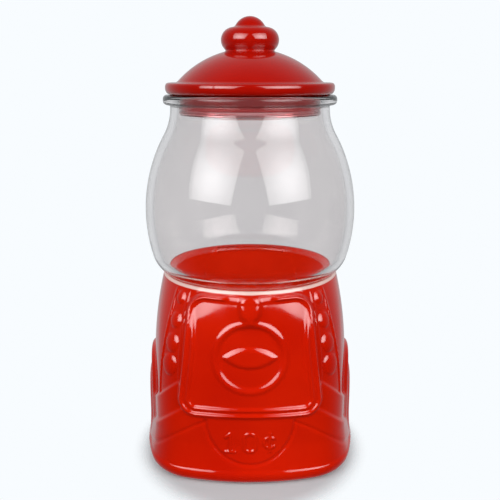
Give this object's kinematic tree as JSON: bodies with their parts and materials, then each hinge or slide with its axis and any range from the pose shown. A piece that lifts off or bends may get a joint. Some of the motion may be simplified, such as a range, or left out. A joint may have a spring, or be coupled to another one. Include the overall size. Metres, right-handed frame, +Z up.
{
  "type": "gumball machine jar",
  "caption": "Glass sweet jar in the form of a gumball machine, with a round globe, a red coated square pedestal in relief and a knobbed lift-off lid.",
  "frame": {"origin": "on the table, under the middle of the foot", "axes": "+Z up along the globe's axis, -Y out of the relief front, +X to the right seen from the front"},
  "size_m": [0.1384, 0.1384, 0.28],
  "materials": {
    "clear_glass": "gloss",
    "red_coat": "gloss",
    "clear_seal": "satin"
  },
  "bodies": {
    "jar": {"jar_glass": "clear_glass", "jar_coat": "red_coat"},
    "seal": {"lid_seal": "clear_seal"},
    "lid": {"lid_glass": "clear_glass", "lid_coat": "red_coat"}
  },
  "joints": [
    {"name": "lid_lift", "type": "slide", "parent": "jar", "child": "seal", "axis": [0, 0, 1], "range_m": [0, 0.12]},
    {"name": "lid_turn", "type": "hinge", "parent": "seal", "child": "lid", "pos_m": [0, 0, 0.233], "axis": [0, 0, 1], "continuous": true}
  ]
}
